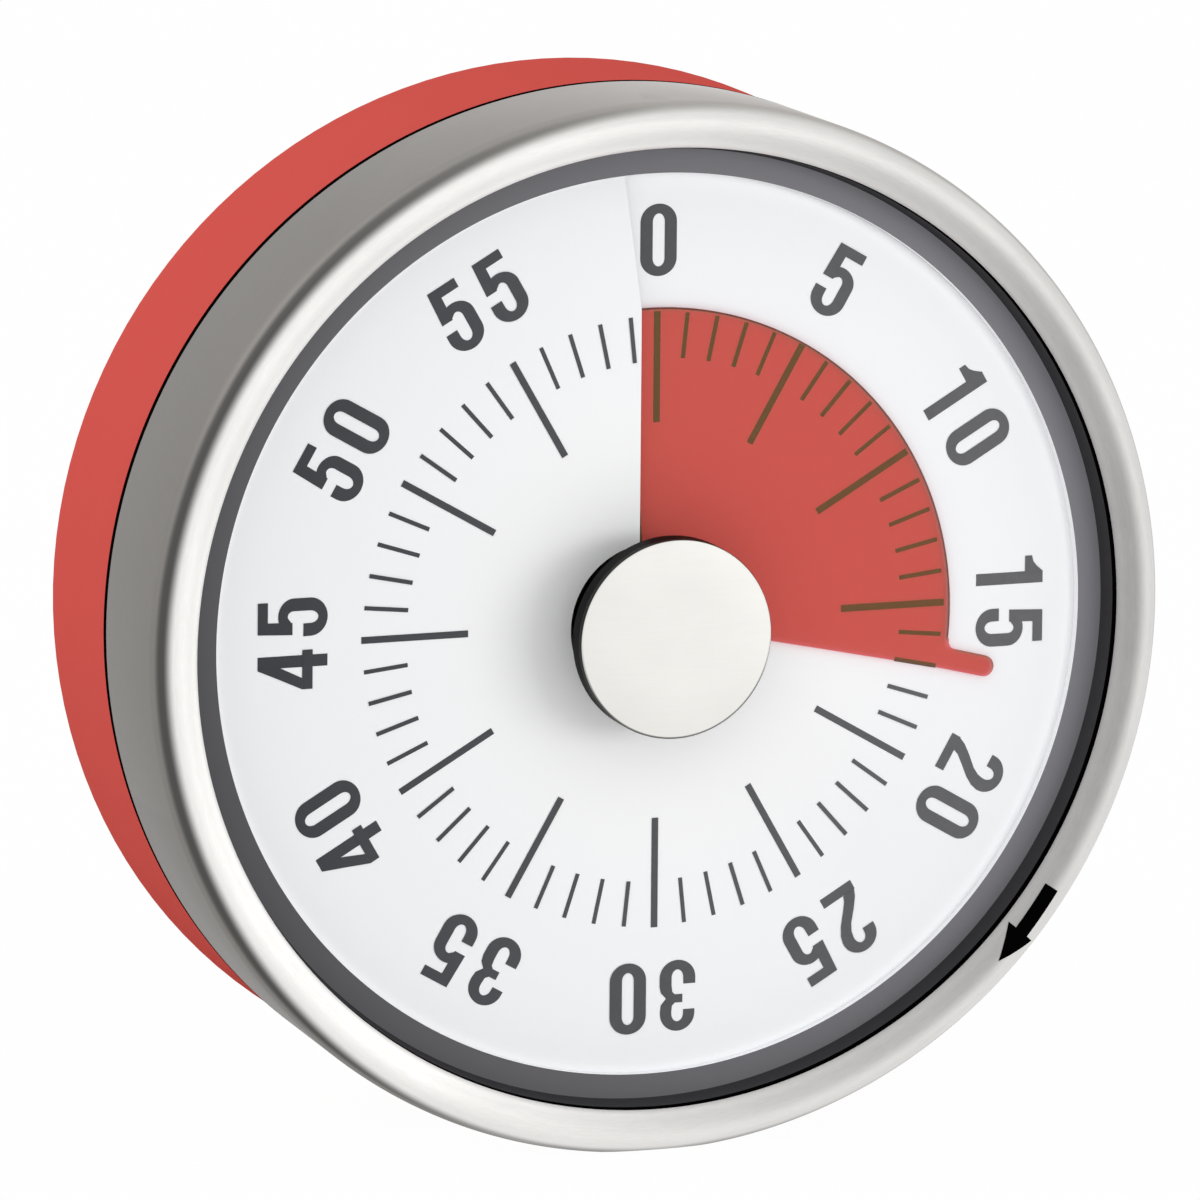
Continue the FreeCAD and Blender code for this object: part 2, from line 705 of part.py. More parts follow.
def mainspring():
    """Spiral strip of half-turn arcs, its outer end on a post and its inner end round the arbor."""
    half_turns = int(number("spring_half_turns"))
    step = number("spring_step")
    half_strip = number("spring_strip") / 2
    first = number("spring_inner") + half_strip
    back = number("spring_back")

    def side(offset):
        edges = []
        for turn in range(half_turns):
            sign = 1 if turn % 2 == 0 else -1
            radius = first + offset + step * turn
            centre = Vector(0, 0 if turn % 2 == 0 else step, back)
            start = centre + Vector(0, sign * radius, 0)
            halfway = centre + Vector(sign * radius, 0, 0)
            end = centre + Vector(0, -sign * radius, 0)
            edges.append(Part.Arc(start, halfway, end).toShape())
        return edges

    outer, inner = side(half_strip), side(-half_strip)
    caps = []
    for pick in (0, -1):
        corner = 0 if pick == 0 else -1
        caps.append(Part.LineSegment(outer[pick].Vertexes[corner].Point, inner[pick].Vertexes[corner].Point).toShape())
    wire = Part.Wire(Part.__sortEdges__(outer + inner + caps))
    new_feature("mainspring", Part.Face(wire).extrude(Vector(0, 0, number("spring_height"))))


def tapered_arm(start, end, start_half, end_half):
    """Draws a straight arm between two places, with its own half width at each."""
    near, far = values(start), values(end)
    side = bearing(near, far) + 90
    corners = []
    for place, half in ((near, start_half), (far, end_half), (far, -end_half), (near, -start_half)):
        across, up = clock_point(half, side)
        corners.append((place[0] + across, place[1] + up))
    return lambda sketch: draw_loop(sketch, corners)


def stop_work():
    """Notched cam on the main arbor and the lever that rides on it."""
    cam = new_body("stop_cam")
    pad(cam, "cam_back", "cam_sheet", circles_at([("0", "0")], "cam_radius"))
    pocket(cam, "cam_back", "cam_sheet", circles_at([("0", "0")], "main_arbor_radius + fit_gap"))
    notch = "lever_angle + shown_minutes * 6"

    def draw(sketch):
        depth = "cam_radius - notch_depth"
        draw_outline(sketch, [clock(depth, f"{notch} - 9"), clock("cam_radius + 1", f"{notch} - 14"),
                              clock("cam_radius + 1", f"{notch} + 14"), clock(depth, f"{notch} + 9")])

    pocket(cam, "cam_back", "cam_sheet", draw)
    lever = new_body("stop_lever")
    pad(lever, "cam_back", "cam_sheet", circles_at([NOSE], "lever_nose"))
    draw_arm = tapered_arm(LEVER, NOSE, number("lever_width") / 2, number("lever_nose"))
    pad(lever, "cam_back", "cam_sheet", draw_arm)
    pad(lever, "cam_back", "cam_sheet", circles_at([LEVER], "lever_width * 0.8"))
    pad(lever, "front_plate_back", "cam_back - front_plate_back", circles_at([LEVER], "pivot_radius"))


def bell_and_hammer():
    """Steel bell cup on its post, and the hammer that swings against its rim."""
    bell = new_body("bell")
    for radius, back, front in (("bell_radius", "bell_back", "bell_back + bell_height"),):
        pad(bell, back, f"{front} - ({back})", circles_at([BELL], radius))
    pocket(bell, "bell_back + bell_sheet", "bell_height", circles_at([BELL], "bell_radius - bell_sheet"))
    pocket(bell, "bell_back", "bell_sheet", circles_at([BELL], "bell_post_radius - 0.5 + fit_gap"))
    stem = "bell_post_radius - 0.5"
    turned_post("bell_post", BELL, [(stem, "bell_back", "bell_back + bell_sheet"),
                                    ("bell_post_radius", "bell_back + bell_sheet", "rear_plate_back"),
                                    (stem, "rear_plate_back", "rear_plate_back + plate_sheet")])
    turned_post("bell_nut", BELL, [("bell_screw_head", "bell_back - 0.9", "bell_back")])
    hammer = new_body("hammer")
    front = "hammer_back + hammer_sheet"
    pad(hammer, "hammer_back", "hammer_sheet", circles_at([HEAD], "hammer_radius"))
    draw_arm = tapered_arm(HAMMER, HEAD, number("hammer_arm_width") / 2, number("hammer_arm_width") / 2)
    pad(hammer, "hammer_back", "hammer_sheet", draw_arm)
    pad(hammer, "hammer_back", "hammer_sheet", circles_at([HAMMER], "hammer_arm_width"))
    pad(hammer, front, f"front_plate_back + plate_sheet - ({front})", circles_at([HAMMER], "pivot_radius"))


def spring_post():
    turned_post("spring_post", ("0", SPRING_POST_UP),
                [("spring_post_radius", "rear_plate_back", "spring_back + spring_height")])


def case_screws():
    for index, centre in enumerate(boss_places(), start=1):
        turned_post(f"case_screw_{index}", centre,
                    [("case_screw_head", "screw_recess - case_screw_head_height", "screw_recess"),
                     ("case_screw_radius", "screw_recess", "carrier_back + screw_bite")])


def magnets():
    for side, centre in zip(("right", "left"), magnet_places()):
        turned_post(f"magnet_{side}", centre,
                    [("magnet_radius", "magnet_inset", "magnet_inset + magnet_height")])


def write_parts():
    for item in parts:
        item.Placement = UPRIGHT
    doc.recompute()
    for item in doc.Objects:
        if "Invalid" in item.State or "Error" in item.State:
            raise RuntimeError(f"{item.Label} failed: {item.State}")
    os.makedirs("parts", exist_ok=True)
    for item in parts:
        shape = item.Shape
        if shape.isNull() or not shape.isValid() or shape.Volume <= 0:
            raise RuntimeError(f"{item.Label} has no valid solid")
        shape.exportStep(f"parts/{item.Label}.step")
        print(f"{item.Label}: {len(shape.Solids)} solid, {shape.Volume:.2f} mm3")


for build in (rear_case, front_shell, dial_ring, dial_card, time_disc, dial_carrier, knob, main_arbor,
              pillars, train, escape_wheel, anchor_and_balance, mainspring, stop_work,
              bell_and_hammer, spring_post, case_screws, magnets):
    build()
plate("rear_plate", "rear_plate_back", "pivot_radius * 1.6 + running_gap")
plate("front_plate", "front_plate_back", "main_arbor_radius + running_gap")
write_parts()
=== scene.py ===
"""Looks for the visual countdown timer: its finishes, its print, its lights and its camera.

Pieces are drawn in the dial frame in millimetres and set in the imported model's frame in metres.
In the dial frame a place is a radius, a clock angle (degrees clockwise from the 0 as the viewer
sees it) and a depth in front of the flat back face.
"""

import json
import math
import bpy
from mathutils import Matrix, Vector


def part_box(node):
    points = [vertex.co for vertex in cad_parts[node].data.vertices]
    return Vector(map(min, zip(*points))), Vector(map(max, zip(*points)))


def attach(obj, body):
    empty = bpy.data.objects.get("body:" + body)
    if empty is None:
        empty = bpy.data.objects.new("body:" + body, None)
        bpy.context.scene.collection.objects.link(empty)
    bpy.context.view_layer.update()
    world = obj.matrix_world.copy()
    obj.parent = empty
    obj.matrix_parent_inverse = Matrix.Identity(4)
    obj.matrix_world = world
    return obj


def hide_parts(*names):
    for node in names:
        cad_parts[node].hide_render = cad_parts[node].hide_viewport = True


bl_info = {
    "name": "Visual Countdown Timer",
    "version": (1, 0, 0),
    "blender": (4, 5, 0),
    "location": "3D View > Sidebar > Timer",
    "description": "Dresses a 60-minute visual countdown timer",
    "category": "Object",
}

import bmesh
import bpy
from bpy.props import FloatProperty, FloatVectorProperty, IntProperty, PointerProperty
from mathutils import Matrix, Vector

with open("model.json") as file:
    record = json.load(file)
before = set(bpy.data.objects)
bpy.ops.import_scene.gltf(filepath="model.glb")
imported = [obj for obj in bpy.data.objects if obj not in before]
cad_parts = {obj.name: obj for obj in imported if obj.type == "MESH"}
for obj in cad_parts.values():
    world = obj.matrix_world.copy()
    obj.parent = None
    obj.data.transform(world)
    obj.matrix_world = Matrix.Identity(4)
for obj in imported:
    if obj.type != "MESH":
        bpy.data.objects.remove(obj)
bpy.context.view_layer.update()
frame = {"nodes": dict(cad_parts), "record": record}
MM = 0.001


def depth_range(node):
    """How far the back and the front of a node stand in front of the back face, in millimetres."""
    low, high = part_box(node)
    return -high.y / MM, -low.y / MM


def radius_of(node):
    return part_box(node)[1].x / MM


SHELL_RADIUS = radius_of("front_shell")
SHELL_BACK, SHELL_FRONT = depth_range("front_shell")
RING_BACK, RING_TOP = depth_range("dial_ring")
DIAL_BACK, DIAL_FRONT = depth_range("dial_card")
DIAL_RADIUS = radius_of("dial_card")
CAP_RADIUS = radius_of("knob_cap")
CAP_BACK, CAP_FRONT = depth_range("knob_cap")
DISC_FRONT = depth_range("time_disc")[1]


def length(name, description, millimetres):
    return FloatProperty(name=name, description=description, default=millimetres, min=0.0,
                         precision=3)


def colour(name, description, red, green, blue):
    """A colour property; the default is given as the eye reads it, from 0 to 255."""
    linear = [((c / 255 + 0.055) / 1.055) ** 2.4 if c > 10 else c / 255 / 12.92
              for c in (red, green, blue)]
    return FloatVectorProperty(name=name, description=description, subtype="COLOR", default=linear,
                               min=0, max=1)


def setting(name, description, value):
    """A property for a share, an angle or a play that may be negative."""
    return FloatProperty(name=name, description=description, default=value)


class TimerSizes(bpy.types.PropertyGroup):
    shell_sheet: length("Steel sheet", "Thickness of the drawn shell", 0.5)
    shell_corner: length("Rim corner", "Radius of the shell's front corner", 1.8)
    shell_flare: length("Shell flare", "How much wider the shell is at its front than at the seam", 0.3)
    lip_radius: length("Lip radius", "Where the rim turns in over the dial ring", 36.93)
    # The seam's black ring is painted shadow: a black ring put in the gap between the shell and the
    # case, where there is only shade.
    gasket: length("Gasket", "How far the seam's dark gasket stays inside the shell's outline", 0.02)
    seam_relief: length("Seam relief", "How far the shell's back edge stands clear of the case", 0.33)
    case_front: length("Case front", "Depth of the rear case's front edge", 14.35)
    lip_drop: length("Lip drop", "How far the lip lies behind the rim's crest", 0.56)
    lip_turn: length("Lip turn", "Depth of the turned-in edge", 0.55)
    lip_shade: length("Lip shade", "Height of the ring wall's black stretch under the lip", 0.2)
    ring_face: length("Ring face", "Depth of the grey ring's flat face", 24.9)
    ring_outer: length("Ring outer", "Outer radius of the grey flat", 36.54)
    ring_inner: length("Ring inner", "Inner radius of the grey flat", 34.62)
    dial_sheet: length("Card thickness", "Thickness of the dial card", 0.3)
    slit_run: length("Cut offset", "How far left of the centre line the cut runs inside the film", 1.0)
    slit_end: length("Cut end", "How far left of the centre line the cut meets the card's edge", 2.42)
    slit_lap: setting("Cut lap", "Degrees the card runs on under its raised edge", 1.2)
    dial_bore: length("Card bore", "Radius of the hole round the hub", 6.4)
    slit_width: setting("Slit width", "Width of the cut, in degrees", 0.6)
    slit_angle: setting("Slit angle", "Clock angle of the cut", -3.4)
    disc_sheet: length("Film thickness", "Thickness of the red film", 0.2)
    disc_radius: length("Film radius", "Outer radius of the red film", 24.3)
    disc_bore: length("Film bore", "Inner radius of the red film", 6.1)
    pointer_reach: length("Pointer reach", "Radius of the pointer's tip", 28.35)
    pointer_width: length("Pointer width", "Width of the pointer tab", 1.6)
    film_lag: length("Film lag", "How far the film's straight edge lies behind a radius", 0.27)
    film_lean: length("Film lean", "How much of the lag the pointer makes up in each millimetre", 0.045)
    shown_minutes: setting("Minutes", "Minutes shown at rest", 17.0)
    numeral_foot: length("Numeral foot", "Radius of the feet of the numerals", 26.37)
    numeral_height: length("Numeral height", "Height of the numerals", 5.53)
    numeral_step: length("Numeral step", "Distance between the middles of two numerals", 4.05)
    numeral_play: length("Numeral play", "How far the numerals sit clockwise of their ticks", 0.06)
    one_room: length("Room after a 1", "Extra distance between a 1 and the next numeral", 0.33)
    print_squeeze: setting("Squeeze", "How much the right half is printed narrower", 0.014)
    print_right: setting("Print right", "Sideways play of the print on the card", 0.57)
    print_up: setting("Print up", "Upward play of the print on the card", 0.27)
    major_inner: length("Long tick start", "Inner end of the five-minute ticks", 15.2)
    major_outer: length("Long tick end", "Outer end of the five-minute ticks", 23.7)
    major_width: length("Long tick width", "Width of the five-minute ticks", 0.53)
    minor_inner: length("Short tick start", "Inner end of the minute ticks", 20.1)
    minor_outer: length("Short tick end", "Outer end of the minute ticks", 23.6)
    minor_width: length("Short tick width", "Width of the minute ticks", 0.33)
    print_lift: length("Print lift", "Height of the ink over its ground", 0.02)
    cap_edge: length("Cap edge", "Radius of the knob cap's edge", 0.12)
    minutes: IntProperty(name="Scale", description="Minutes in one turn", default=60)


class TimerColours(bpy.types.PropertyGroup):
    red_plastic: colour("Case red", "Moulded red of the rear case", 204, 84, 77)
    red_film: colour("Film red", "Cloudy part of the red film", 172, 200, 124)
    steel: colour("Steel", "Brushed steel of the rim", 246, 245, 243)
    # The side-wall steel is the rim's steel darkened as painted shade. The band steel is a painted dark
    # reflection at the rim's corner, and it also darkens the brushed grain.
    steel_side: colour("Steel side", "Brushed steel of the side wall", 143, 140, 137)
    steel_band: colour("Steel band", "Dull band before the rim's corner", 90, 89, 87)
    ring_grey: colour("Ring grey", "Grey of the dial ring", 130, 129, 134)
    card_white: colour("Card white", "White of the dial card", 250, 251, 253)
    ink: colour("Ink", "Dark grey print on the left of the dial", 66, 68, 72)
    ink_right: colour("Ink at the right", "Paler grey print on the right of the dial", 110, 110, 112)
    # Black of the rim's printed arrow. It is also the black of the painted shadows: the ring in the
    # seam, the turned-in lip and the top of the ring wall.
    arrow_black: colour("Arrow", "Black print on the rim", 4, 4, 4)
    cap_steel: colour("Cap steel", "Brushed steel of the knob cap", 229, 228, 224)
    knob_black: colour("Knob black", "Dark plastic of the knob", 10, 10, 11)
    floor: colour("Floor", "Pale studio floor and backdrop", 255, 255, 255)


def sizes():
    return bpy.context.scene.timer_sizes


def colours():
    return bpy.context.scene.timer_colours


class Wire:
    """A socket in a node tree that can be used in sums."""

    def __init__(self, tree, socket):
        self.tree = tree
        self.socket = socket

    def maths(self, operation, other=None, reflected=False):
        """One Math node; reflected puts this socket second."""
        node = self.tree.nodes.new("ShaderNodeMath")
        node.operation = operation
        values = [self, other] if not reflected else [other, self]
        for slot, value in zip(node.inputs, values):
            if isinstance(value, Wire):
                self.tree.links.new(value.socket, slot)
            elif value is not None:
                slot.default_value = value
        return Wire(self.tree, node.outputs[0])

    def __add__(self, other):
        return self.maths("ADD", other)

    def __radd__(self, other):
        return self.maths("ADD", other, True)

    def __sub__(self, other):
        return self.maths("SUBTRACT", other)

    def __rsub__(self, other):
        return self.maths("SUBTRACT", other, True)

    def __mul__(self, other):
        return self.maths("MULTIPLY", other)

    def __rmul__(self, other):
        return self.maths("MULTIPLY", other, True)


class Finish:
    """One material and the nodes that make it."""

    def __init__(self, name, roughness, metallic=0.0, **fixed):
        self.material = bpy.data.materials.new(name)
        self.material.use_nodes = True
        self.tree = self.material.node_tree
        self.shader = self.tree.nodes["Principled BSDF"]
        self.set("Metallic", metallic)
        self.set("Roughness", roughness)
        for socket, value in fixed.items():
            self.set(socket.replace("_", " "), value)

    def set(self, socket, value):
        """Gives one of the shader's sockets a number, a colour or a link."""
        self.feed(self.shader.inputs[socket], value)

    def feed(self, slot, value):
        if isinstance(value, Wire):
            self.tree.links.new(value.socket, slot)
        else:
            slot.default_value = value

    def node(self, kind, settings=None, inputs=None, output=0):
        made = self.tree.nodes.new(kind)
        for key, value in (settings or {}).items():
            setattr(made, key, value)
        for key, value in (inputs or {}).items():
            self.feed(made.inputs[key], value)
        return Wire(self.tree, made.outputs[output])

    def place(self):
        """The point on the surface in the piece's own frame, in metres."""
        return self.node("ShaderNodeTexCoord", output="Object")

    def parts(self, vector):
        split = self.node("ShaderNodeSeparateXYZ", inputs={"Vector": vector})
        return [Wire(self.tree, socket) for socket in split.socket.node.outputs]

    def vector(self, x, y, z):
        return self.node("ShaderNodeCombineXYZ", inputs={"X": x, "Y": y, "Z": z})

    def noise(self, vector, scale, detail=2.0, rough=0.5):
        return self.node("ShaderNodeTexNoise", inputs={"Vector": vector, "Scale": scale,
                                                       "Detail": detail, "Roughness": rough})

    def ramp(self, value, start, end):
        """A share that rises evenly from 0 at the start to 1 at the end."""
        return self.node("ShaderNodeMapRange", inputs={"Value": value, "From Min": start,
                                                       "From Max": end})

    def hypot(self, first, second):
        """The length that two sides at right angles make."""
        return (first * first + second * second).maths("SQRT")

    def mix_in(self, share, other):
        """Mixes another shader over this one's own and gives the result to the material."""
        own = Wire(self.tree, self.shader.outputs[0])
        mix = self.node("ShaderNodeMixShader", inputs={0: share, 1: own, 2: other})
        self.tree.links.new(mix.socket, self.tree.nodes["Material Output"].inputs["Surface"])

    def blend(self, share, first, second):
        mix = self.tree.nodes.new("ShaderNodeMix")
        mix.data_type = "RGBA"
        self.feed(mix.inputs[0], share)
        self.feed(mix.inputs[6], first)
        self.feed(mix.inputs[7], second)
        return Wire(self.tree, mix.outputs[2])

    def bump(self, height, strength, distance):
        normal = self.node("ShaderNodeBump", inputs={"Height": height, "Strength": strength,
                                                     "Distance": distance})
        self.set("Normal", normal)

    def ease(self, value, start, end):
        """A share that rises smoothly from 0 at the start to 1 at the end."""
        return self.node("ShaderNodeMapRange", {"interpolation_type": "SMOOTHSTEP"},
                         {"Value": value, "From Min": start, "From Max": end})

    def round_grain(self):
        """Coordinates that stretch a pattern along circles round the dial's axis."""
        x, y, z = self.parts(self.place())
        angle = x.maths("ARCTAN2", z)
        return self.vector(angle * 0.004, self.hypot(x, z), y)


def rgba(shade, dim=1.0):
    return [channel * dim for channel in shade] + [1.0]


def shell_steel(name, bright, side, band):
    """Steel brushed round the axis, with painted light: painted shade down the side wall that lightens
    towards the top, a dark band at the rim's corner that is a painted dark reflection turning bright at
    the right, painted shade across the rim towards the lower right that is weaker at the outer edge, and
    painted light near the lip.
    """
    steel = Finish(name, 0.36, metallic=1.0)
    x, y, z = steel.parts(steel.place())
    grain = steel.round_grain()
    fine = steel.noise(grain, 9000.0, 3.0, 0.6)
    wide = steel.noise(steel.place(), 110.0, 2.0)
    mottle = steel.noise(steel.place(), 260.0, 3.0, 0.6)
    depth = y * -1000.0
    corner = SHELL_FRONT - sizes().shell_corner
    radius = steel.hypot(x, z) * 1000.0
    # Mask of the band at the rim's corner, where a dark reflection is painted.
    painted_band_mask = steel.ease(depth, corner + 0.7, corner + 1.2)
    # Except at the left and top left, the rim's bright colour reaches further round the corner, as
    # painted light.
    narrow = steel.ease(x - z.maths("MAXIMUM", 0.0) * 0.5, -0.04, -0.008)
    front = steel.ease(radius - narrow * 0.7, SHELL_RADIUS - 0.35, SHELL_RADIUS - 1.1)
    # Painted light: the side wall and the band are lighter towards the top.
    rise = steel.ramp(x, -0.035, 0.0)
    height = rise * rise * steel.ease(z, 0.0, 0.01)
    # Painted shade across the rim towards the lower right, weaker at the rim's outer edge; the rim is
    # painted lighter near the lip.
    across = steel.ramp(x - z * 0.176, -0.0137, 0.0391)
    inner = steel.ease(radius, sizes().lip_radius + 0.9, sizes().lip_radius + 0.2)
    outer = steel.ease(radius, SHELL_RADIUS - 1.9, SHELL_RADIUS - 0.8)
    wall = steel.blend(height, rgba(side), rgba(side, 1.98))
    dark = steel.blend(height, rgba(band), rgba(band, 5.0))
    # Painted light: at the right the corner's band is painted bright.
    dark = steel.blend(steel.ease(x, 0.0, 0.03), dark, rgba(bright, 0.95))
    rim = steel.blend(inner, rgba(bright), rgba(bright, 1.1))
    rim = steel.blend(across * (0.5 - outer * 0.4), rim, rgba(bright, 0.0))
    # Random mottle, stronger where the rim carries its painted shade.
    rim = steel.blend(mottle * (0.1 + across * 0.2), rim, rgba(bright, 0.8))
    shade = steel.blend(front, steel.blend(painted_band_mask, wall, dark), rim)
    steel.set("Base Color", steel.blend(fine * 0.1 + wide * 0.08, shade, rgba(band)))
    steel.set("Roughness", 0.58 + fine * 0.08 + across * 0.14)
    steel.bump(fine, 0.1, 0.00003)
    return steel.material


def cap_steel(name, shade):
    """Steel brushed straight across, with a painted dark reflection along the bottom edge and the side
    painted black as painted shade.
    """
    steel = Finish(name, 0.5, metallic=1.0)
    x, y, z = steel.parts(steel.place())
    grain = steel.vector(x * 0.03, y, z)
    fine = steel.noise(grain, 9000.0, 3.0, 0.6)
    cloud = steel.noise(steel.place(), 210.0, 2.0)
    radius = steel.hypot(x, z) * 1000.0
    # Painted dark reflection along the lower edge; below it, the cap's side wall is painted black as
    # painted shade.
    edge = steel.ease(radius, CAP_RADIUS - 0.2, CAP_RADIUS - 0.1) * steel.ease(z, 0.001, -0.005)
    side = steel.ease(radius, CAP_RADIUS - 0.06, CAP_RADIUS - 0.02)
    face = steel.blend(cloud * 0.7, rgba(shade), rgba(shade, 0.9))
    face = steel.blend(fine * 0.1, face, rgba(shade, 0.75))
    face = steel.blend(edge, face, rgba(shade, 0.25))
    steel.set("Base Color", steel.blend(side, face, rgba(shade, 0.03)))
    steel.set("Roughness", 0.5 + fine * 0.1)
    steel.bump(fine, 0.07, 0.00003)
    return steel.material


def moulded(name, shade, roughness, sheen=0.1):
    """Moulded plastic with a fine spark texture and a slight mottle."""
    plastic = Finish(name, roughness, Specular_IOR_Level=sheen)
    fine = plastic.noise(plastic.place(), 2600.0, 3.0, 0.6)
    mottle = plastic.noise(plastic.place(), 90.0, 2.0)
    plastic.set("Base Color", plastic.blend(mottle, rgba(shade, 0.96), rgba(shade)))
    plastic.set("Roughness", roughness - 0.05 + fine * 0.1)
    plastic.bump(fine, 0.06, 0.00004)
    return plastic.material


def ring_grey(name, shade):
    """Satin grey plastic with painted shade, darker towards the lower left of the dial."""
    plastic = Finish(name, 0.5, Specular_IOR_Level=0.3)
    fine = plastic.noise(plastic.place(), 2600.0, 3.0, 0.6)
    x, y, z = plastic.parts(plastic.place())
    # Painted shade towards the lower left.
    across = plastic.ramp(x * 0.94 + z * 0.34, -0.035, 0.035)
    plastic.set("Base Color", plastic.blend(across, rgba(shade, 0.385), rgba(shade)))
    plastic.bump(fine, 0.05, 0.00004)
    return plastic.material


def printed_card(name, shade):
    """Coated white card with a soft paper tooth, painted lighter round the middle and with painted shade
    towards the left.
    """
    card = Finish(name, 0.6, Specular_IOR_Level=0.15)
    x, y, z = card.parts(card.place())
    tooth = card.noise(card.place(), 3500.0, 3.0, 0.6)
    cloud = card.noise(card.place(), 60.0, 2.0)
    ground = card.blend(cloud, rgba(shade, 0.985), rgba(shade))
    # Painted light round the hub, lifting the knob's shade.
    middle = card.ease(card.hypot(x, z), 0.026, 0.012)
    ground = card.blend(middle, ground, (1.0, 1.0, 1.0, 1.0))
    # Painted shade: the card is darker towards the left.
    card.set("Base Color", card.blend(card.ease(x, 0.02, -0.035) * 0.5, ground, rgba(shade, 0.88)))
    card.bump(tooth, 0.03, 0.00003)
    return card.material


def tinted_film(name, shade):
    """Red film that the print shows through: part tinted window, part cloudy red."""
    film = Finish(name, 0.5, Specular_IOR_Level=0.2)
    mottle = film.noise(film.place(), 110.0, 2.0)
    x, y, z = film.parts(film.place())
    size = sizes()
    radius = film.hypot(x, z) * 1000.0
    rim = size.disc_radius
    lead = math.radians(size.shown_minutes * 360 / size.minutes)
    behind = (z * math.sin(lead) - x * math.cos(lead)) * 1000.0
    edge = film.ease(radius, rim - 0.22, rim - 0.08) * film.ease(behind, 2.2, 2.8)
    half = size.pointer_width / 2
    along = (x * math.sin(lead) + z * math.cos(lead)) * 1000.0
    lag = size.film_lag - (along - rim).maths("MAXIMUM", 0.0) * size.film_lean
    side = behind - lag - half
    beyond = (along - (size.pointer_reach - half)).maths("MAXIMUM", 0.0)
    border = film.ease(film.hypot(beyond, side), half - 0.18, half - 0.04)
    border = border * film.ease(side, -0.6, 0.2) * film.ease(along, rim + 0.7, rim + 1.1)
    edge = edge.maths("MAXIMUM", border * 0.7)
    cloudy = film.blend(mottle, rgba(shade, 0.95), rgba(shade))
    film.set("Base Color", film.blend(edge, cloudy, rgba(shade, 0.12)))
    window = film.node("ShaderNodeBsdfTransparent", inputs={"Color": (0.972, 0.42, 0.55, 1.0)})
    film.mix_in(0.866 - edge * 0.4, window)
    return film.material


def ink(name, shade):
    """Matt printing ink, slightly uneven."""
    layer = Finish(name, 0.8, Specular_IOR_Level=0.0)
    uneven = layer.noise(layer.place(), 1500.0, 2.0)
    layer.set("Base Color", layer.blend(uneven, rgba(shade, 0.9), rgba(shade, 1.08)))
    return layer.material


def dial_ink(name):
    """The dial's ink, paler towards the right."""
    paint = colours()
    layer = Finish(name, 0.7, Specular_IOR_Level=0.08)
    x, y, z = layer.parts(layer.place())
    across = layer.ramp(x, -0.03, 0.03)
    uneven = layer.noise(layer.place(), 1500.0, 2.0)
    shade = layer.blend(across, rgba(paint.ink), rgba(paint.ink_right))
    layer.set("Base Color", layer.blend(uneven * 0.2, shade, rgba(paint.ink, 0.6)))
    return layer.material


def turned_metal(name, shade, roughness):
    """Rolled or turned metal for the pieces of the movement."""
    metal = Finish(name, roughness, metallic=1.0)
    cloud = metal.noise(metal.place(), 400.0, 3.0)
    metal.set("Base Color", metal.blend(cloud, rgba(shade, 0.85), rgba(shade)))
    metal.set("Roughness", roughness - 0.05 + cloud * 0.1)
    return metal.material


def spot(radius, angle, depth):
    """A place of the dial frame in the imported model's frame."""
    turn = math.radians(angle)
    return Vector((radius * math.sin(turn) * MM, -depth * MM, radius * math.cos(turn) * MM))


SHARP_ANGLE = math.radians(35.0)


def new_piece(name, vertices, faces, body, materials):
    mesh = bpy.data.meshes.new(name)
    mesh.from_pydata([tuple(v) for v in vertices], [], faces)
    mesh.validate()
    piece = bpy.data.objects.new(name, mesh)
    bpy.context.scene.collection.objects.link(piece)
    for material in materials:
        mesh.materials.append(material)
    work = bmesh.new()
    work.from_mesh(mesh)
    bmesh.ops.recalc_face_normals(work, faces=work.faces)
    work.to_mesh(mesh)
    work.free()
    mesh.shade_smooth()
    mesh.set_sharp_from_angle(angle=SHARP_ANGLE)
    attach(piece, body)
    return piece


def bend(centre, radius, start, end, steps):
    """Points on a bend of a half section; angles in degrees from outwards towards the front."""
    points = []
    for step in range(steps + 1):
        turn = math.radians(start + (end - start) * step / steps)
        points.append((centre[0] + radius * math.cos(turn), centre[1] + radius * math.sin(turn)))
    return points


def lathe(name, section, body, materials, segments=288, closed=True, paint=None):
    """Turns a half section of (radius, depth) points round the dial's axis."""
    vertices = []
    for radius, depth in section:
        vertices += [spot(radius, 360 * turn / segments, depth) for turn in range(segments)]
    rings = len(section)
    faces, marks = [], []
    for ring in range(rings if closed else rings - 1):
        after = (ring + 1) % rings
        for turn in range(segments):
            beside = (turn + 1) % segments
            faces.append((ring * segments + turn, ring * segments + beside,
                          after * segments + beside, after * segments + turn))
            marks.append(paint(section[ring], section[after]) if paint else 0)
    piece = new_piece(name, vertices, faces, body, materials)
    for polygon, mark in zip(piece.data.polygons, marks):
        polygon.material_index = mark
    return piece


def low_top():
    """Depth of the card's face on the low side of the cut."""
    return DIAL_BACK + sizes().dial_sheet


def screw_pitch():
    """How far the card climbs in one turn."""
    return (DIAL_FRONT - low_top()) * 360 / (360 - sizes().slit_width)


def dial_top(angle):
    """Depth of the card's face: it climbs steadily from just right of the cut to just left of it."""
    size = sizes()
    return low_top() + screw_pitch() * ((angle - size.slit_angle - size.slit_width / 2) % 360) / 360


def cut_angle(radius):
    """Clock angle of the card's raised edge, which runs beside the centre line and then flares."""
    size = sizes()
    across = size.slit_run
    if radius > size.disc_radius:
        share = (radius - size.disc_radius) / (DIAL_RADIUS - size.disc_radius)
        across += (size.slit_end - size.slit_run) * share
    return -math.degrees(math.asin(across / radius))


def film_lag(radius):
    """How far the film's front edge lies behind the dial's radius; the pointer leans forward of it."""
    size = sizes()
    return size.film_lag - max(0.0, radius - size.disc_radius) * size.film_lean


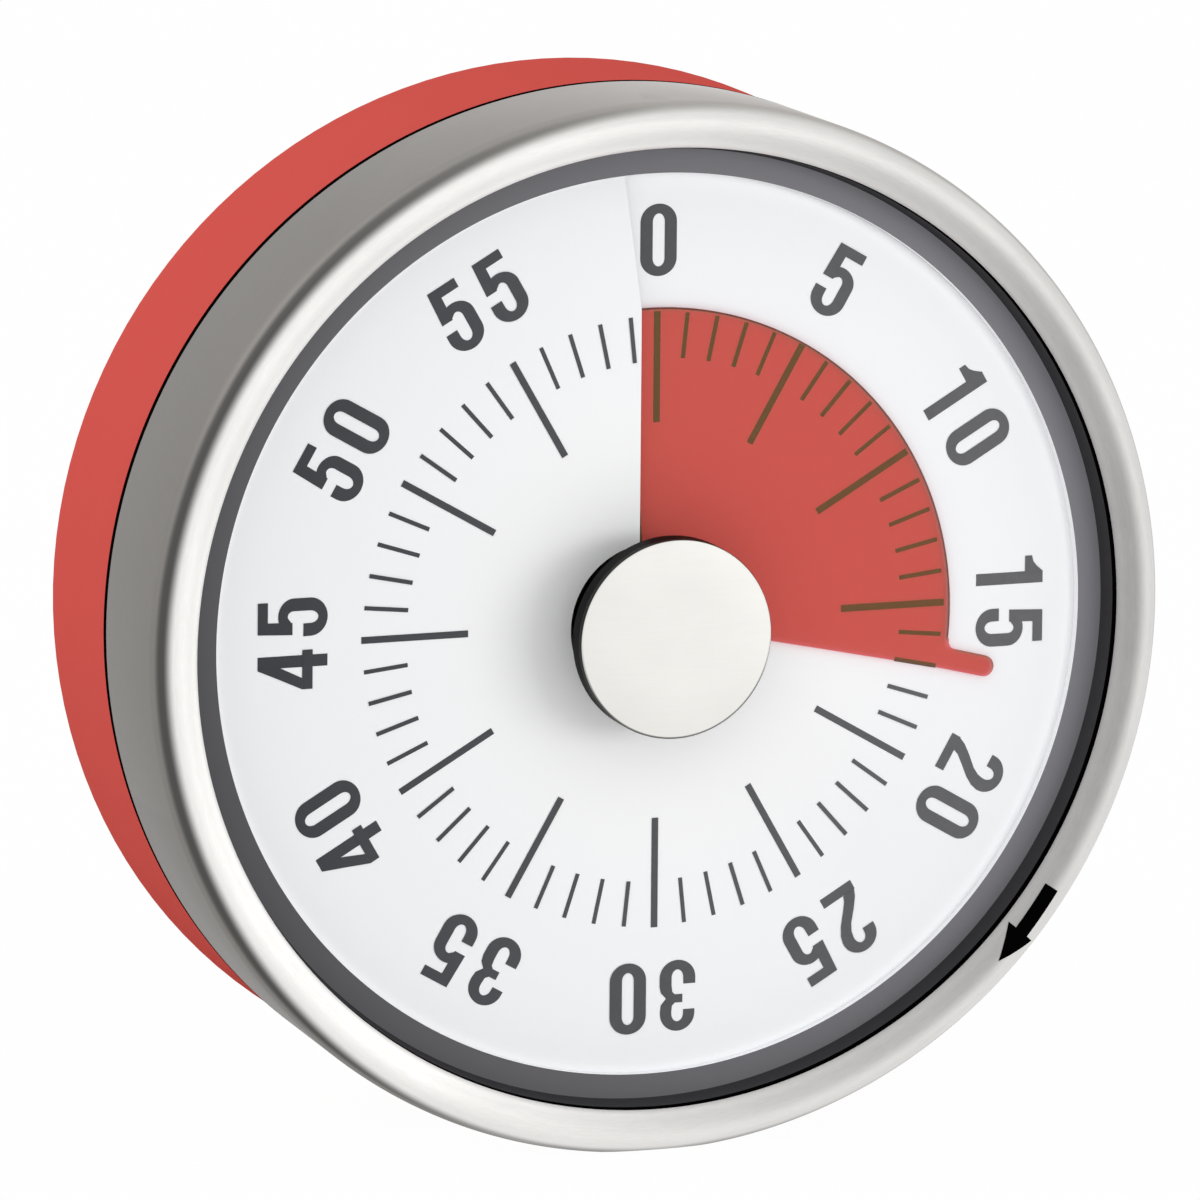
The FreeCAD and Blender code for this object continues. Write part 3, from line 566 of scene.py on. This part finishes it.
def straight_rib(angle, inner, outer, depth, columns=6):
    return [(inner + (outer - inner) * column / (columns - 1), angle, depth)
            for column in range(columns)]


def screw_sheet(name, ribs, thickness, body, material):
    """A sheet through ribs, each a row of (radius, clock angle, front depth) places."""
    columns = len(ribs[0])
    vertices = []
    for rib in ribs:
        for back in (0.0, thickness):
            vertices += [spot(radius, angle, depth - back) for radius, angle, depth in rib]
    row = 2 * columns
    faces = []
    for rib in range(len(ribs) - 1):
        here, after = rib * row, (rib + 1) * row
        for side in (0, columns):
            for column in range(columns - 1):
                a, b = here + side + column, after + side + column
                faces.append((a, a + 1, b + 1, b))
        for edge in (0, columns - 1):
            faces.append((here + edge, after + edge, after + edge + columns, here + edge + columns))
    for end in (0, (len(ribs) - 1) * row):
        for column in range(columns - 1):
            a = end + column
            faces.append((a, a + 1, a + 1 + columns, a + columns))
    return new_piece(name, vertices, faces, body, [material])


# The numerals are drawn about the middle of a box this many millimetres high
DRAWN_HEIGHT = 5.65
HALF_TALL = DRAWN_HEIGHT / 2
OUTER = (1.5, 1.4)
INNER = (0.49, 0.64)
ROUND_UP = HALF_TALL - OUTER[1]
BAR = 0.81


def arch(centre, outer, inner, start, end, step=10.0):
    """Pairs of points on the outer and inner rail of a bend; angles in degrees from right towards up."""
    count = max(2, math.ceil(abs(end - start) / step))
    pairs = []
    for index in range(count + 1):
        turn = math.radians(start + (end - start) * index / count)
        pairs.append(tuple((centre[0] + rx * math.cos(turn), centre[1] + ry * math.sin(turn))
                           for rx, ry in (outer, inner)))
    return pairs


def block(left, right, low, high):
    return [((left, low), (right, low)), ((left, high), (right, high))]


def zero():
    loop = arch((0, ROUND_UP), OUTER, INNER, 0, 180) + arch((0, -ROUND_UP), OUTER, INNER, 180, 360)
    return [loop + loop[:1]]


def one():
    foot = 1.32
    flag = [((-1.08, 1.9), (-1.08, foot)), ((-0.6, 2.02), (-0.6, foot)), ((-0.25, 2.3), (-0.25, foot)),
            ((0.05, 2.66), (0.05, foot)), ((0.2, HALF_TALL), (0.2, foot))]
    return [flag, block(0.15, 1.1, -HALF_TALL, HALF_TALL)]


def two():
    sweep = [((1.5, 1.25), (0.49, 1.3)), ((1.36, 0.68), (0.4, 0.8)), ((0.98, 0.0), (0.1, 0.22)),
             ((0.3, -0.86), (-0.68, -0.72)), ((-0.22, -1.55), (-1.2, -1.45)),
             ((-0.38, -2.0), (-1.45, -2.05))]
    return [[((-1.5, 1.13), (-0.5, 1.13))] + arch((0, ROUND_UP), OUTER, INNER, 180, 0) + sweep,
            block(-1.5, 1.45, -HALF_TALL, BAR - HALF_TALL)]


def three():
    upper = [((-1.45, 1.13), (-0.5, 1.13))] + arch((0, ROUND_UP), (1.45, OUTER[1]), INNER, 180, 0)
    upper += [((1.45, 1.2), (0.49, 1.25)), ((1.38, 0.7), (0.44, 0.8)), ((0.95, 0.2), (0.2, 0.56))]
    lower = [((0.95, 0.2), (0.2, -0.08)), ((1.38, -0.25), (0.42, -0.3)), ((1.5, -0.75), (0.49, -0.8))]
    lower += arch((0, -ROUND_UP), OUTER, INNER, 0, -180) + [((-1.5, -0.9), (-0.5, -0.9))]
    return [upper, lower, block(-0.42, 0.95, -0.1, 0.56)]


def four():
    bar_low, bar_high = -1.62, -0.78
    arm = [((0.12, HALF_TALL), (0.3, HALF_TALL)), ((-0.64, 1.1), (0.3, 1.1)),
           ((-1.5, bar_high), (-0.62, bar_high))]
    return [arm, block(-1.5, 1.58, bar_low, bar_high), block(0.24, 1.18, -HALF_TALL, HALF_TALL)]


def five():
    bowl = [((-0.62, 0.88), (-0.42, 0.1))] + arch((0.08, -0.1), (1.42, 1.28), (0.42, 0.5), 112, 0)
    bowl += arch((0, -ROUND_UP), OUTER, INNER, 0, -180) + [((-1.5, -0.86), (-0.5, -0.86))]
    stem = [((-1.22, HALF_TALL), (-0.3, HALF_TALL)), ((-1.36, 0.02), (-0.4, 0.02))]
    return [bowl, stem, block(-1.22, 1.26, HALF_TALL - BAR, HALF_TALL)]


NUMERALS = (zero, one, two, three, four, five)


def evened(pairs, longest=0.6):
    """The same strip with its long runs divided, so that it can follow the twisted card."""
    def between(start, end, share):
        return tuple(a + (b - a) * share for a, b in zip(start, end))

    dense = [pairs[0]]
    for (left, right), (next_left, next_right) in zip(pairs, pairs[1:]):
        run = max(math.dist(left, next_left), math.dist(right, next_right))
        count = max(1, math.ceil(run / longest))
        for step in range(1, count + 1):
            share = step / count
            dense.append((between(left, next_left, share), between(right, next_right, share)))
    return dense


def on_dial(across, up, lift):
    """A place of the flat dial drawing, set on the card's face."""
    size = sizes()
    across += size.print_right - size.print_squeeze * max(0.0, across)
    up += size.print_up
    radius = math.hypot(across, up)
    angle = math.degrees(math.atan2(across, up))
    return spot(radius, angle, dial_top(angle) + lift)


def print_on_dial(name, strips, material):
    """Prints strips, each a list of (left, right) points in the flat drawing, on the card."""
    layers = 4
    vertices, faces = [], []
    for index, pairs in enumerate(strips):
        first = len(vertices)
        lift = sizes().print_lift * (1 + 0.5 * (index % layers))
        for left, right in evened(pairs):
            vertices += [on_dial(*left, lift), on_dial(*right, lift)]
        for step in range((len(vertices) - first) // 2 - 1):
            a = first + 2 * step
            faces.append((a, a + 1, a + 3, a + 2))
    return new_piece(name, vertices, faces, "housing", [material])


def turned_strip(pairs, minute):
    """A strip drawn below the 0, turned to its own minute."""
    turn = math.radians(minute * 360 / sizes().minutes)
    return [tuple((x * math.cos(turn) + y * math.sin(turn), y * math.cos(turn) - x * math.sin(turn))
                  for x, y in pair) for pair in pairs]


class PieceOperator(bpy.types.Operator):
    bl_options = {"REGISTER", "UNDO"}


class TIMER_OT_rear_case(PieceOperator):
    """Finish the red rear case and the screws and magnets in its back"""
    bl_idname = "timer.rear_case"
    bl_label = "Rear case"

    def execute(self, context):
        paint = colours()
        red = moulded("case_red", paint.red_plastic, 0.5, sheen=0.0)
        frame["nodes"]["rear_case"].data.materials[0] = red
        plated = turned_metal("plated_magnet", (0.62, 0.62, 0.6), 0.28)
        zinc = turned_metal("screw_zinc", (0.55, 0.55, 0.54), 0.35)
        for node in ("magnet_right", "magnet_left"):
            frame["nodes"][node].data.materials[0] = plated
        for number in (1, 2, 3):
            frame["nodes"][f"case_screw_{number}"].data.materials[0] = zinc
        size = sizes()
        # A black ring in the seam between the shell and the case, standing in as painted shadow in the
        # gap.
        inside = SHELL_RADIUS - size.shell_sheet
        outside = SHELL_RADIUS - size.gasket
        front = SHELL_BACK + size.seam_relief
        section = [(inside, size.case_front), (outside, size.case_front), (outside, front),
                   (inside, front)]
        black = moulded("seam_black", paint.arrow_black, 0.6, sheen=0.0)
        lathe("seam_gasket", section, "housing", [black])
        return {"FINISHED"}


def shell_section():
    """Half section of the steel shell: side wall, round corner, crowned rim and turned-in lip."""
    size = sizes()
    sheet, corner = size.shell_sheet, size.shell_corner
    lip = SHELL_FRONT - size.lip_drop
    back = SHELL_BACK + size.seam_relief
    outer = [(SHELL_RADIUS - 0.12, back), (SHELL_RADIUS - 0.03, back + 0.03),
             (SHELL_RADIUS, back + 0.12)]
    wide = SHELL_RADIUS + size.shell_flare
    crown = wide - corner
    outer += bend((crown, SHELL_FRONT - corner), corner, 0, 78, 10)
    rim = []
    for step in range(1, 9):
        share = step / 8
        slope = SHELL_FRONT - 0.02 - (size.lip_drop - 0.1) * share ** 1.6
        rim.append((crown - (crown - size.lip_radius - 0.15) * share, slope))
    edge = lip - size.lip_turn
    turned = [(size.lip_radius + 0.04, lip - 0.04), (size.lip_radius, lip - 0.16),
              (size.lip_radius, edge)]
    inside = [(size.lip_radius + sheet, edge), (size.lip_radius + sheet, lip - sheet),
              (crown, SHELL_FRONT - sheet - 0.25),
              (wide - sheet, SHELL_FRONT - corner), (SHELL_RADIUS - sheet, back)]
    return outer + rim + turned + inside


def rim_depth(radius):
    """Depth of the rim's outside at a radius."""
    section = [point for point in shell_section() if point[1] > SHELL_FRONT - 1.2]
    outer = [p for p in section if p[0] >= sizes().lip_radius + 0.03][:20]
    for (r1, d1), (r2, d2) in zip(outer, outer[1:]):
        if min(r1, r2) <= radius <= max(r1, r2) and abs(r1 - r2) > 1e-6:
            return d1 + (d2 - d1) * (radius - r1) / (r2 - r1)
    return SHELL_FRONT


class TIMER_OT_front_shell(PieceOperator):
    """Turn the brushed steel shell"""
    bl_idname = "timer.front_shell"
    bl_label = "Front shell"

    def execute(self, context):
        paint = colours()
        finish = shell_steel("brushed_steel", paint.steel, paint.steel_side, paint.steel_band)
        lip = sizes().lip_radius + 0.01

        def turned_in(start, end):
            return 1 if max(start[0], end[0]) < lip else 0

        shadow = moulded("lip_shadow", paint.arrow_black, 0.6, sheen=0.0)
        shell = lathe("steel_shell", shell_section(), "housing", [finish, shadow],
                      paint=turned_in)
        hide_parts("front_shell")
        return {"FINISHED"}


class TIMER_OT_dial_ring(PieceOperator):
    """Turn the grey ring round the dial"""
    bl_idname = "timer.dial_ring"
    bl_label = "Dial ring"

    def execute(self, context):
        size = sizes()
        outside = SHELL_RADIUS - size.shell_sheet - 0.05
        top = RING_TOP
        face = size.ring_face
        section = [(size.ring_inner, RING_BACK), (outside, RING_BACK), (outside, top),
                   (size.lip_radius, top), (size.lip_radius - 0.09, top - size.lip_shade),
                   (size.ring_outer + 0.08, face + 0.12), (size.ring_outer - 0.02, face + 0.01),
                   (size.ring_outer - 0.12, face), (size.ring_inner + 0.05, face),
                   (size.ring_inner, face - 0.05)]
        flat = ring_grey("ring_grey", colours().ring_grey)
        # The ring's outer wall is a darkened copy of the ring's grey, painted shade.
        wall = moulded("ring_wall", [c * 0.17 for c in colours().ring_grey], 0.5)
        # The ring's bore wall is painted the card's white, painted light over the shade it lies in.
        edge = printed_card("ring_edge", colours().card_white)
        shadow = moulded("ring_shadow", colours().arrow_black, 0.6, sheen=0.0)

        def which(start, end):
            if min(start[1], end[1]) > top - size.lip_shade - 0.01:
                return 3
            if min(start[0], end[0]) > size.ring_outer - 0.05:
                return 1
            return 2 if max(start[0], end[0]) < size.ring_inner + 0.06 else 0

        ring = lathe("grey_ring", section, "housing", [flat, wall, edge, shadow],
                     paint=which)
        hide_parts("dial_ring")
        return {"FINISHED"}


class TIMER_OT_dial_card(PieceOperator):
    """Cut and twist the white dial card"""
    bl_idname = "timer.dial_card"
    bl_label = "Dial card"

    def execute(self, context):
        size = sizes()
        start = size.slit_angle + size.slit_width / 2
        pitch = screw_pitch()
        outside = size.ring_inner - 0.004
        sweep = 345.0
        count = 230
        turns = [-size.slit_lap] + [sweep * step / count for step in range(count + 1)]
        ribs = [straight_rib(start + turn, size.dial_bore, outside, low_top() + pitch * turn / 360, 12)
                for turn in turns]
        last = ribs[-1]
        closing = 8
        for step in range(1, closing + 1):
            rib = []
            for radius, angle, depth in last:
                turned = angle + (cut_angle(radius) + 360 - angle) * step / closing
                rib.append((radius, turned, depth + pitch * (turned - angle) / 360))
            ribs.append(rib)
        card = screw_sheet("white_card", ribs, size.dial_sheet, "housing",
                           printed_card("card_white", colours().card_white))
        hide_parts("dial_card")
        return {"FINISHED"}


class TIMER_OT_ticks(PieceOperator):
    """Print the sixty ticks"""
    bl_idname = "timer.ticks"
    bl_label = "Ticks"

    def execute(self, context):
        size = sizes()
        strips = []
        for minute in range(size.minutes):
            long = minute % 5 == 0
            if long:
                inner, outer, half = size.major_inner, size.major_outer, size.major_width / 2
            else:
                inner, outer, half = size.minor_inner, size.minor_outer, size.minor_width / 2
            tick = [((-half, inner), (half, inner)), ((-half, outer), (half, outer))]
            strips.append(turned_strip(tick, minute))
        print_on_dial("dial_ticks", strips, dial_ink("tick_ink"))
        return {"FINISHED"}


class TIMER_OT_numerals(PieceOperator):
    """Print the numerals from 0 to 55"""
    bl_idname = "timer.numerals"
    bl_label = "Numerals"

    def execute(self, context):
        size = sizes()
        scale = size.numeral_height / DRAWN_HEIGHT
        strips = []
        for minute in range(0, size.minutes, 5):
            digits = [int(letter) for letter in str(minute)]
            step = size.numeral_step + (size.one_room if 1 in digits else 0.0)
            middle = size.numeral_foot + size.numeral_height / 2
            for index, digit in enumerate(digits):
                shift = (index - (len(digits) - 1) / 2) * step + size.numeral_play
                for strip in NUMERALS[digit]():
                    placed = [tuple((x * scale + shift, middle + y * scale) for x, y in pair)
                              for pair in strip]
                    strips.append(turned_strip(placed, minute))
        print_on_dial("dial_numerals", strips, dial_ink("numeral_ink"))
        return {"FINISHED"}


class TIMER_OT_time_disc(PieceOperator):
    """Make the red film with its pointer tab"""
    bl_idname = "timer.time_disc"
    bl_label = "Time disc"

    def execute(self, context):
        size = sizes()
        edge = size.shown_minutes * 360 / size.minutes
        pitch = screw_pitch()
        front = DISC_FRONT
        start = edge - 365.0
        tip = size.pointer_width / 2
        fillet = 0.6
        outline = []
        for step in range(241):
            outline.append((start + (edge - 6.0 - start) * step / 240, size.disc_radius))
        root = size.disc_radius + fillet
        corner = edge - math.degrees(math.asin((size.pointer_width + fillet) / root))
        outline.append((corner - 0.6, size.disc_radius))
        for step in range(7):
            turn = math.radians(90 * step / 6)
            along = root - fillet * math.cos(turn)
            across = size.pointer_width + fillet - fillet * math.sin(turn)
            outline.append((edge - math.degrees(math.atan2(across, along)), math.hypot(across, along)))
        centre = size.pointer_reach - tip
        for step in range(19):
            swing = math.pi * step / 18
            along = centre + tip * math.sin(swing)
            across = tip * (1 + math.cos(swing))
            outline.append((edge - math.degrees(math.atan2(across, along)), math.hypot(across, along)))
        outline.sort()
        ribs = []
        for angle, radius in outline:
            rib = straight_rib(angle, size.disc_bore, radius, front - pitch * (edge - angle) / 360)
            ribs.append([(reach, turn - math.degrees(film_lag(reach) / reach), depth)
                         for reach, turn, depth in rib])
        disc = screw_sheet("red_film", ribs, size.disc_sheet, "film",
                           tinted_film("film_red", colours().red_film))
        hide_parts("time_disc")
        return {"FINISHED"}


class TIMER_OT_knob(PieceOperator):
    """Turn the brushed cap and finish the dark body of the knob"""
    bl_idname = "timer.knob"
    bl_label = "Knob"

    def execute(self, context):
        edge = sizes().cap_edge
        section = [(0.0, CAP_BACK), (CAP_RADIUS - 0.05, CAP_BACK), (CAP_RADIUS, CAP_BACK + 0.05)]
        section += bend((CAP_RADIUS - edge, CAP_FRONT - edge), edge, 0, 90, 6)
        section += [(CAP_RADIUS * 0.5, CAP_FRONT), (0.0, CAP_FRONT)]
        cap = lathe("steel_cap", section, "setting", [cap_steel("brushed_cap", colours().cap_steel)],
                    closed=False)
        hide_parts("knob_cap")
        black = moulded("knob_black", colours().knob_black, 0.5, sheen=0.04)
        frame["nodes"]["knob_body"].data.materials[0] = black
        return {"FINISHED"}


class TIMER_OT_rim_arrow(PieceOperator):
    """Print the arrow that shows which way to turn"""
    bl_idname = "timer.rim_arrow"
    bl_label = "Rim arrow"

    def execute(self, context):
        tail, barb, tip = 124.45, 130.6, 134.85
        tail_line, tip_line = 38.4, 38.58
        half_shaft, half_head = 0.58, 1.25
        steps = 16
        rows = []
        for step in range(steps + 1):
            rows.append((tail + (barb - tail) * step / steps, half_shaft))
        for step in range(steps + 1):
            rows.append((barb + (tip - barb) * step / steps, half_head * (1 - step / steps)))
        vertices, faces = [], []
        columns = 12
        for angle, half in rows:
            line = tail_line + (tip_line - tail_line) * (angle - tail) / (tip - tail)
            for column in range(columns + 1):
                radius = line - half + 2 * half * column / columns
                vertices.append(spot(radius, angle, rim_depth(radius) + 0.035))
        row = columns + 1
        for index in range(len(rows) - 1):
            if index == steps:
                continue
            for column in range(columns):
                a = index * row + column
                faces.append((a, a + 1, a + 1 + row, a + row))
        new_piece("rim_arrow", vertices, faces, "housing", [ink("arrow_ink", colours().arrow_black)])
        return {"FINISHED"}


class TIMER_OT_movement(PieceOperator):
    """Finish the pieces of the movement behind the dial"""
    bl_idname = "timer.movement"
    bl_label = "Movement"

    def execute(self, context):
        finishes = {
            "brass": turned_metal("rolled_brass", (0.72, 0.54, 0.25), 0.35),
            "bright_steel": turned_metal("bright_steel", (0.6, 0.6, 0.6), 0.28),
            "white_nylon": moulded("wheel_nylon", (0.75, 0.74, 0.68), 0.5),
            "carrier_plastic": moulded("carrier_plastic", (0.08, 0.08, 0.08), 0.55),
        }
        for part in frame["record"]["subparts"]:
            if part["material_slot"] in finishes and not part["node"].startswith("case_screw"):
                frame["nodes"][part["node"]].data.materials[0] = finishes[part["material_slot"]]
        return {"FINISHED"}


def area_light(name, place, size, power):
    """A white rectangular lamp that points at the timer."""
    lamp = bpy.data.lights.new(name, "AREA")
    lamp.shape = "RECTANGLE"
    lamp.size, lamp.size_y = size
    lamp.energy = power
    light = bpy.data.objects.new(name, lamp)
    light.location = place
    light.rotation_euler = (-Vector(place)).to_track_quat("-Z", "Y").to_euler()
    bpy.context.scene.collection.objects.link(light)


def shown_white(name, shade):
    """White to the camera and in reflections, and a plain pale floor to the lamps."""
    surface = Finish(name, 0.9, Specular_IOR_Level=0.0)
    surface.set("Base Color", rgba(shade, 0.8))
    path = surface.tree.nodes.new("ShaderNodeLightPath")
    camera = Wire(surface.tree, path.outputs["Is Camera Ray"])
    seen = camera.maths("MAXIMUM", Wire(surface.tree, path.outputs["Is Glossy Ray"]))
    glow = surface.node("ShaderNodeEmission", inputs={"Color": (1, 1, 1, 1), "Strength": 1.0})
    surface.mix_in(seen * 0.98, glow)
    return surface.material


class TIMER_OT_stage(PieceOperator):
    """Set the floor, the lights, the world and the camera"""
    bl_idname = "timer.stage"
    bl_label = "Stage"

    def execute(self, context):
        scene = context.scene
        scene.view_settings.view_transform = "Standard"
        floor_level = -SHELL_RADIUS * MM
        mesh = bpy.data.meshes.new("floor")
        reach, rise = 3.0, 2.5
        sweep, back, steps = 0.5, 1.2, 12
        lines = [(-reach, floor_level)]
        for step in range(steps + 1):
            turn = math.pi / 2 * step / steps
            lines.append((back + sweep * math.sin(turn), floor_level + sweep - sweep * math.cos(turn)))
        lines.append((back + sweep, rise))
        vertices = [(x, y, z) for y, z in lines for x in (-reach, reach)]
        faces = [(2 * i, 2 * i + 1, 2 * i + 3, 2 * i + 2) for i in range(len(lines) - 1)]
        mesh.from_pydata(vertices, [], faces)
        mesh.shade_smooth()
        mesh.materials.append(shown_white("studio_white", colours().floor))
        floor = bpy.data.objects.new("floor", mesh)
        scene.collection.objects.link(floor)

        area_light("key_right", (0.62, -0.95, 0.03), (0.7, 0.5), 4.2)
        area_light("top_left", (-1.2, 0.1, 1.1), (1.4, 1.0), 9.0)

        world = bpy.data.worlds.new("studio")
        scene.world = world
        world.use_nodes = True
        background = world.node_tree.nodes["Background"]
        background.inputs["Color"].default_value = (1, 1, 1, 1)
        background.inputs["Strength"].default_value = 0.8

        camera = bpy.data.objects.new("camera", bpy.data.cameras.new("camera"))
        camera.data.lens = 426.7
        camera.data.sensor_width = 36.0
        camera.data.clip_end = 20.0
        place = Vector((-0.36615, -1.01203, 0.21186))
        aim = Vector((-0.00355, -0.02318, 0.0019))
        roll = math.radians(0.46)
        turn = (aim - place).to_track_quat("-Z", "Y").to_matrix() @ Matrix.Rotation(roll, 3, "Z")
        camera.matrix_world = Matrix.Translation(place) @ turn.to_4x4()
        scene.collection.objects.link(camera)
        scene.camera = camera
        return {"FINISHED"}


class TIMER_PT_panel(bpy.types.Panel):
    bl_label = "Countdown Timer"
    bl_idname = "TIMER_PT_panel"
    bl_space_type = "VIEW_3D"
    bl_region_type = "UI"
    bl_category = "Timer"

    def draw(self, context):
        for operator in OPERATORS:
            self.layout.operator(operator.bl_idname)
        for name in TimerColours.__annotations__:
            self.layout.prop(context.scene.timer_colours, name)
        for name in TimerSizes.__annotations__:
            self.layout.prop(context.scene.timer_sizes, name)


OPERATORS = (
    TIMER_OT_stage,
    TIMER_OT_rear_case,
    TIMER_OT_front_shell,
    TIMER_OT_dial_ring,
    TIMER_OT_dial_card,
    TIMER_OT_ticks,
    TIMER_OT_numerals,
    TIMER_OT_time_disc,
    TIMER_OT_knob,
    TIMER_OT_rim_arrow,
    TIMER_OT_movement,
)
CLASSES = (TimerSizes, TimerColours) + OPERATORS + (TIMER_PT_panel,)


def register():
    for kind in CLASSES:
        bpy.utils.register_class(kind)
    bpy.types.Scene.timer_sizes = PointerProperty(type=TimerSizes)
    bpy.types.Scene.timer_colours = PointerProperty(type=TimerColours)


def unregister():
    del bpy.types.Scene.timer_colours
    del bpy.types.Scene.timer_sizes
    for kind in reversed(CLASSES):
        bpy.utils.unregister_class(kind)


def main():
    register()
    for operator in OPERATORS:
        group, name = operator.bl_idname.split(".")
        getattr(getattr(bpy.ops, group), name)()


if __name__ == "__main__":
    main()
